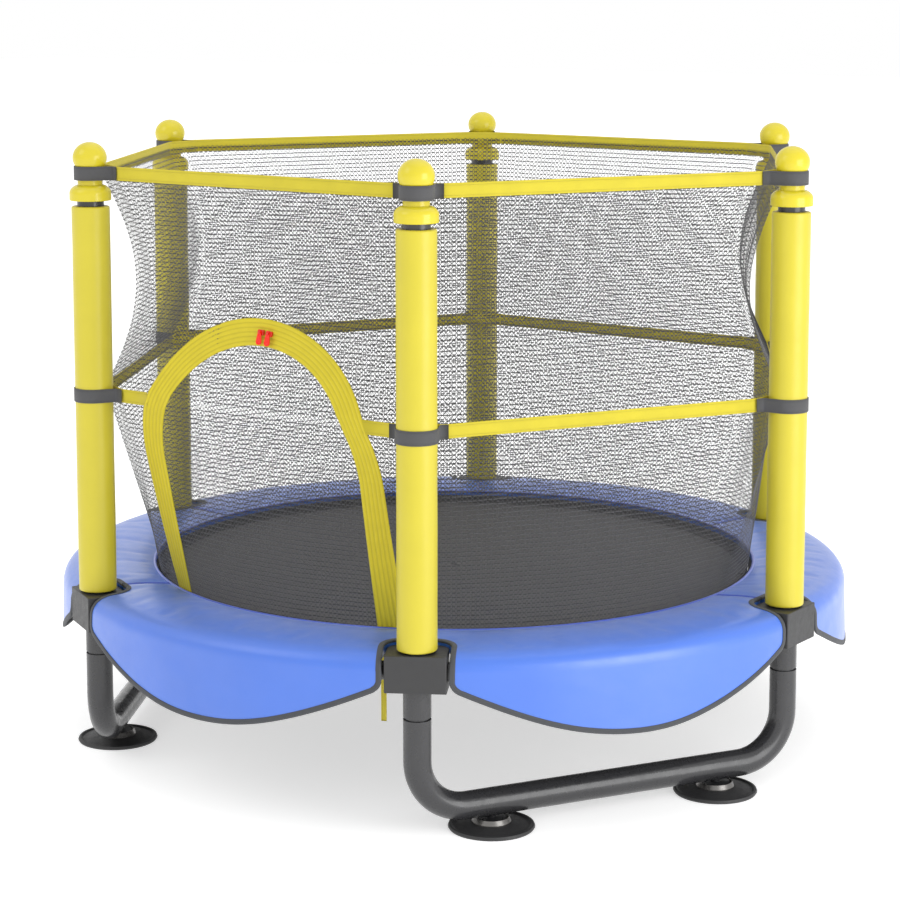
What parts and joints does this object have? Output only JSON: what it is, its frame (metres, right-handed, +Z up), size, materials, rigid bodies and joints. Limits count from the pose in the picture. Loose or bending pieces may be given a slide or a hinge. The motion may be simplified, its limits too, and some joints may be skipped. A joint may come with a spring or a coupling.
{
  "type": "enclosed trampoline",
  "caption": "Small round trampoline with a netted enclosure on padded poles, a zipped door, a scalloped safety pad and bent-tube legs on wide feet.",
  "frame": {"origin": "on the floor, under the middle of the mat", "axes": "+Z up; -Y out of the door; +X to the right, as seen from outside the door"},
  "size_m": [1.52, 1.5232, 1.1495],
  "materials": {
    "ring_tube": "satin black paint",
    "corner_block": "fine matt moulded plastic",
    "pole_tube": "satin black paint",
    "foam_sleeve": "soft foam sleeve with a smooth satin skin",
    "pole_cap": "glossy moulded plastic",
    "leg_tube": "semi-gloss black paint",
    "suction_foot": "matt moulded rubber",
    "foot_hubs": "turned and brushed",
    "foot_studs": "dark plated steel",
    "leg_sockets": "satin black paint",
    "clip_webbing": "woven webbing",
    "safety_pad": "coated PVC cloth with a soft sheen",
    "skirt_binding": "woven binding tape",
    "jumping_mat": "tightly woven polypropylene",
    "mat_rings": "zinc plated wire",
    "elastic_loops": "braided elastic cord",
    "net": "open knitted mesh",
    "strap": "woven webbing",
    "door_zipper": "ribbed coil zipper tape",
    "zipper_slider": "enamelled die-cast metal",
    "pull_tab": "glossy moulded plastic",
    "zipper_tail": "zipper tape"
  },
  "bodies": {
    "frame": {"ring_tube_1": "ring_tube", "ring_tube_2": "ring_tube", "ring_tube_3": "ring_tube", "ring_tube_4": "ring_tube", "ring_tube_5": "ring_tube", "ring_tube_6": "ring_tube", "corner_block_1": "corner_block", "corner_block_2": "corner_block", "corner_block_3": "corner_block", "corner_block_4": "corner_block", "corner_block_5": "corner_block", "corner_block_6": "corner_block", "pole_1": "pole_tube", "pole_2": "pole_tube", "pole_3": "pole_tube", "pole_4": "pole_tube", "pole_5": "pole_tube", "pole_6": "pole_tube", "foam_sleeve_1": "foam_sleeve", "foam_sleeve_2": "foam_sleeve", "foam_sleeve_3": "foam_sleeve", "foam_sleeve_4": "foam_sleeve", "foam_sleeve_5": "foam_sleeve", "foam_sleeve_6": "foam_sleeve", "pole_cap_1": "pole_cap", "pole_cap_2": "pole_cap", "pole_cap_3": "pole_cap", "pole_cap_4": "pole_cap", "pole_cap_5": "pole_cap", "pole_cap_6": "pole_cap", "u_leg_1": "leg_tube", "u_leg_2": "leg_tube", "u_leg_3": "leg_tube", "suction_foot_1": "suction_foot", "suction_foot_2": "suction_foot", "suction_foot_3": "suction_foot", "suction_foot_4": "suction_foot", "suction_foot_5": "suction_foot", "suction_foot_6": "suction_foot", "foot_hubs": "foot_hubs", "foot_studs": "foot_studs", "leg_sockets": "leg_sockets", "top_clips": "clip_webbing", "mid_clips": "clip_webbing", "safety_pad": "safety_pad", "skirt_binding": "skirt_binding", "elastic_loops": "elastic_loops", "upper_net": "net", "lower_net": "net", "door_net": "net", "top_strap": "strap", "mid_strap": "strap", "door_zipper": "door_zipper"},
    "mat": {"jumping_mat": "jumping_mat", "mat_rings": "mat_rings", "zipper_tail": "zipper_tail"},
    "slider_left": {"zipper_slider_left": "zipper_slider"},
    "slider_right": {"zipper_slider_right": "zipper_slider"},
    "pull_left": {"pull_tab_left": "pull_tab"},
    "pull_right": {"pull_tab_right": "pull_tab"}
  },
  "joints": [
    {"name": "mat_bounce", "type": "slide", "parent": "frame", "child": "mat", "axis": [0, 0, -1], "range_m": [0, 0.1], "stiffness_N_per_m": 4500, "springref_m": -0.012, "deforming": ["elastic_loops"]},
    {"name": "slider_left_travel", "type": "hinge", "parent": "frame", "child": "slider_left", "pos_m": [0, -0.63901, 0.59073], "axis": [0, -0.9806, 0.1959], "range_deg": [0, 54]},
    {"name": "slider_right_travel", "type": "hinge", "parent": "frame", "child": "slider_right", "pos_m": [0, -0.63901, 0.59073], "axis": [0, 0.9806, -0.1959], "range_deg": [0, 50]},
    {"name": "pull_left_swing", "type": "hinge", "parent": "slider_left", "child": "pull_left", "pos_m": [0.00532, -0.59121, 0.82994], "axis": [0, -0.9806, 0.1959], "range_deg": [-70, 5]},
    {"name": "pull_right_swing", "type": "hinge", "parent": "slider_right", "child": "pull_right", "pos_m": [0.0236, -0.59142, 0.82888], "axis": [0, -0.9806, 0.1959], "range_deg": [-5, 70]}
  ]
}
